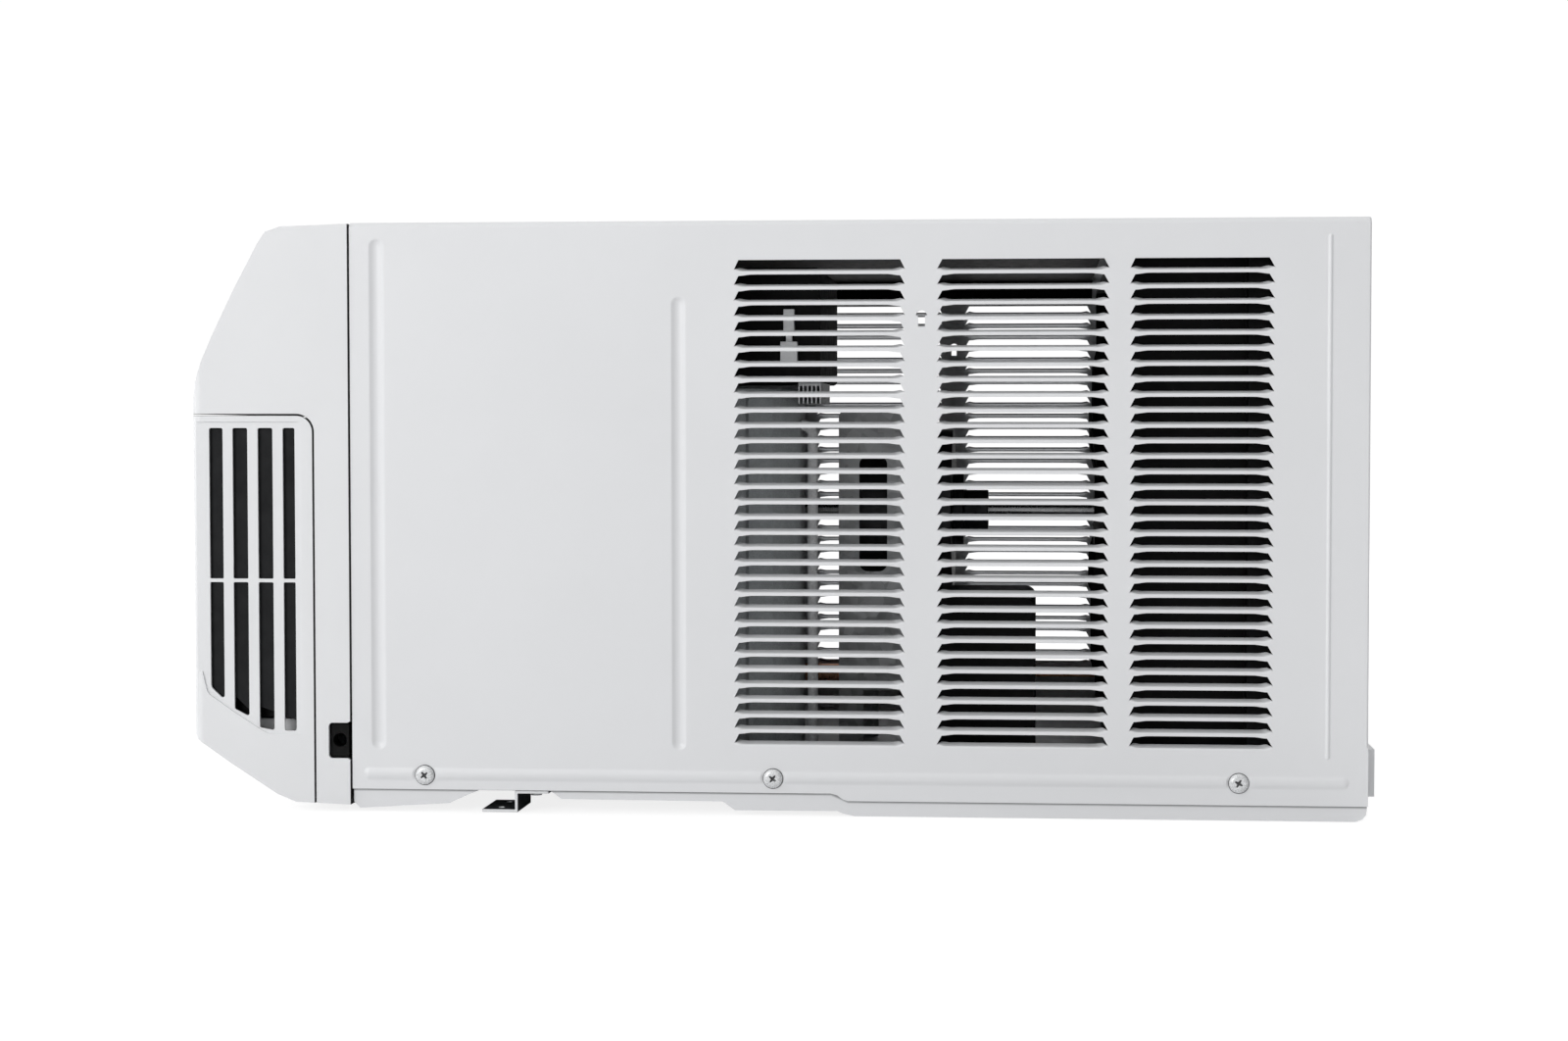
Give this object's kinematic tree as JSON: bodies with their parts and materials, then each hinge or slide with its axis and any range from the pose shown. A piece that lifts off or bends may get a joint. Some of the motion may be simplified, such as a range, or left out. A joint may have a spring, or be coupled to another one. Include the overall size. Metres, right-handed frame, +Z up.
{
  "type": "window air conditioner",
  "caption": "Window air conditioner with a louvred steel cabinet, sloped plastic front, tilting intake panel, swinging vanes and a through-shaft fan train.",
  "frame": {"origin": "middle of the bounding box's bottom face, on the plane that the base pan rests on", "axes": "+Z up; -Y faces the room (intake panel and vanes), +Y faces outdoors (condenser guard); +X is the right-hand side seen from the room"},
  "size_m": [0.6032, 0.76, 0.38],
  "materials": {
    "white_paint": "powder coat, fine texture, satin",
    "screw_paint": "painted pan head, satin",
    "zinc_steel": "zinc-coated sheet, dull",
    "white_plastic": "moulded, fine spark texture",
    "button_plastic": "moulded, semi-gloss",
    "dark_plastic": "moulded, satin",
    "black_plastic": "moulded, satin",
    "filter_net": "woven net",
    "lens": "smoked, glossy",
    "circuit_board": "solder mask",
    "aluminium_shell": "pressed, dull",
    "black_rubber": "matt",
    "fins": "coated fins",
    "copper": "drawn copper tube",
    "grey_foam": "expanded bead foam",
    "pipe_foam": "foam sleeve on the tube",
    "grey_felt": "pressed felt",
    "motor_steel": "black paint",
    "shaft_steel": "ground",
    "compressor_paint": "black paint"
  },
  "bodies": {
    "root": {"cabinet_wrap": "white_paint", "cabinet_screws": "screw_paint", "base_pan": "white_paint", "bracket_left": "zinc_steel", "bracket_right": "zinc_steel", "bracket_screws": "zinc_steel", "rear_guard": "white_paint", "front_frame": "white_plastic", "control_panel": "white_plastic", "display_lens": "lens", "display_board": "circuit_board", "louvre_housing": "dark_plastic", "swing_motor": "aluminium_shell", "cord_gland": "black_rubber", "evaporator_coil": "fins", "evaporator_bends": "copper", "blower_scroll": "grey_foam", "bulkhead": "zinc_steel", "fan_motor": "motor_steel", "motor_bracket": "zinc_steel", "condenser_shroud": "black_plastic", "condenser_coil": "fins", "condenser_bends": "copper", "compressor": "compressor_paint", "compressor_jacket": "grey_felt", "compressor_grommets": "black_rubber", "suction_tube": "copper", "discharge_tube": "pipe_foam", "liquid_tube": "copper", "control_box": "black_plastic", "heat_sink": "aluminium_shell", "power_board": "circuit_board", "inverter_box": "black_plastic", "coil_sensor": "copper", "drain_plug": "black_rubber", "wire_connector": "white_plastic"},
    "intake_panel": {"intake_panel": "white_plastic"},
    "air_filter": {"filter_frame": "dark_plastic", "filter_mesh": "filter_net"},
    "fan_rotor": {"fan_shaft": "shaft_steel", "condenser_fan": "black_plastic", "blower_wheel": "dark_plastic"},
    "hvane_1": {"horizontal_vane_1": "white_plastic"},
    "hvane_2": {"horizontal_vane_2": "white_plastic"},
    "hvane_3": {"horizontal_vane_3": "white_plastic"},
    "hlink": {"horizontal_link": "white_plastic"},
    "vvane_1": {"vertical_vane_1": "white_plastic"},
    "vvane_2": {"vertical_vane_2": "white_plastic"},
    "vvane_3": {"vertical_vane_3": "white_plastic"},
    "vvane_4": {"vertical_vane_4": "white_plastic"},
    "vvane_5": {"vertical_vane_5": "white_plastic"},
    "vvane_6": {"vertical_vane_6": "white_plastic"},
    "vtie": {"vertical_tie_bar": "white_plastic"},
    "button_power": {"button_power": "button_plastic"},
    "button_mode": {"button_mode": "button_plastic"},
    "button_fan_speed": {"button_fan_speed": "button_plastic"},
    "button_up": {"button_up": "button_plastic"},
    "button_down": {"button_down": "button_plastic"},
    "button_timer": {"button_timer": "button_plastic"},
    "button_energy_saver": {"button_energy_saver": "button_plastic"}
  },
  "joints": [
    {"name": "intake_panel_tilt", "type": "hinge", "parent": "root", "child": "intake_panel", "pos_m": [0, -0.306, 0.0075], "axis": [1, 0, 0], "range_deg": [0, 30]},
    {"name": "air_filter_lift", "type": "slide", "parent": "intake_panel", "child": "air_filter", "axis": [0, 0, 1], "range_m": [0, 0.008]},
    {"name": "fan_spin", "type": "hinge", "parent": "root", "child": "fan_rotor", "pos_m": [0, 0, 0.187], "axis": [0, 1, 0], "continuous": true},
    {"name": "hvane_1_tilt", "type": "hinge", "parent": "root", "child": "hvane_1", "pos_m": [0, -0.35214, 0.29726], "axis": [1, 0, 0], "range_deg": [-40, 40]},
    {"name": "hvane_2_tilt", "type": "hinge", "parent": "root", "child": "hvane_2", "pos_m": [0, -0.34311, 0.31622], "axis": [1, 0, 0], "range_deg": [-40, 40]},
    {"name": "hvane_3_tilt", "type": "hinge", "parent": "root", "child": "hvane_3", "pos_m": [0, -0.33408, 0.33518], "axis": [1, 0, 0], "range_deg": [-40, 40]},
    {"name": "hlink_turn", "type": "hinge", "parent": "hvane_1", "child": "hlink", "pos_m": [0, -0.34581, 0.29425], "axis": [1, 0, 0], "range_deg": [-40, 40]},
    {"name": "vvane_1_swing", "type": "hinge", "parent": "root", "child": "vvane_1", "pos_m": [-0.23, -0.32009, 0.30525], "axis": [0, 0.4299, 0.9029], "range_deg": [-35, 35]},
    {"name": "vvane_2_swing", "type": "hinge", "parent": "root", "child": "vvane_2", "pos_m": [-0.167, -0.32009, 0.30525], "axis": [0, 0.4299, 0.9029], "range_deg": [-35, 35]},
    {"name": "vvane_3_swing", "type": "hinge", "parent": "root", "child": "vvane_3", "pos_m": [-0.104, -0.32009, 0.30525], "axis": [0, 0.4299, 0.9029], "range_deg": [-35, 35]},
    {"name": "vvane_4_swing", "type": "hinge", "parent": "root", "child": "vvane_4", "pos_m": [-0.041, -0.32009, 0.30525], "axis": [0, 0.4299, 0.9029], "range_deg": [-35, 35]},
    {"name": "vvane_5_swing", "type": "hinge", "parent": "root", "child": "vvane_5", "pos_m": [0.022, -0.32009, 0.30525], "axis": [0, 0.4299, 0.9029], "range_deg": [-35, 35]},
    {"name": "vvane_6_swing", "type": "hinge", "parent": "root", "child": "vvane_6", "pos_m": [0.085, -0.32009, 0.30525], "axis": [0, 0.4299, 0.9029], "range_deg": [-35, 35]},
    {"name": "vtie_turn", "type": "hinge", "parent": "vvane_1", "child": "vtie", "pos_m": [-0.23, -0.31286, 0.30182], "axis": [0, 0.4299, 0.9029], "range_deg": [-35, 35]},
    {"name": "button_power_press", "type": "slide", "parent": "root", "child": "button_power", "axis": [0, 0.9029, -0.4299], "range_m": [0, 0.0012], "stiffness_N_per_m": 500},
    {"name": "button_mode_press", "type": "slide", "parent": "root", "child": "button_mode", "axis": [0, 0.9029, -0.4299], "range_m": [0, 0.0012], "stiffness_N_per_m": 500},
    {"name": "button_fan_speed_press", "type": "slide", "parent": "root", "child": "button_fan_speed", "axis": [0, 0.9029, -0.4299], "range_m": [0, 0.0012], "stiffness_N_per_m": 500},
    {"name": "button_up_press", "type": "slide", "parent": "root", "child": "button_up", "axis": [0, 0.9029, -0.4299], "range_m": [0, 0.0012], "stiffness_N_per_m": 500},
    {"name": "button_down_press", "type": "slide", "parent": "root", "child": "button_down", "axis": [0, 0.9029, -0.4299], "range_m": [0, 0.0012], "stiffness_N_per_m": 500},
    {"name": "button_timer_press", "type": "slide", "parent": "root", "child": "button_timer", "axis": [0, 0.9029, -0.4299], "range_m": [0, 0.0012], "stiffness_N_per_m": 500},
    {"name": "button_energy_saver_press", "type": "slide", "parent": "root", "child": "button_energy_saver", "axis": [0, 0.9029, -0.4299], "range_m": [0, 0.0012], "stiffness_N_per_m": 500}
  ],
  "couplings": [
    {"joint": "hvane_2_tilt", "follows": "hvane_1_tilt", "ratio": 1},
    {"joint": "hvane_3_tilt", "follows": "hvane_1_tilt", "ratio": 1},
    {"joint": "hlink_turn", "follows": "hvane_1_tilt", "ratio": -1},
    {"joint": "vvane_2_swing", "follows": "vvane_1_swing", "ratio": 1},
    {"joint": "vvane_3_swing", "follows": "vvane_1_swing", "ratio": 1},
    {"joint": "vvane_4_swing", "follows": "vvane_1_swing", "ratio": 1},
    {"joint": "vvane_5_swing", "follows": "vvane_1_swing", "ratio": 1},
    {"joint": "vvane_6_swing", "follows": "vvane_1_swing", "ratio": 1},
    {"joint": "vtie_turn", "follows": "vvane_1_swing", "ratio": -1}
  ]
}
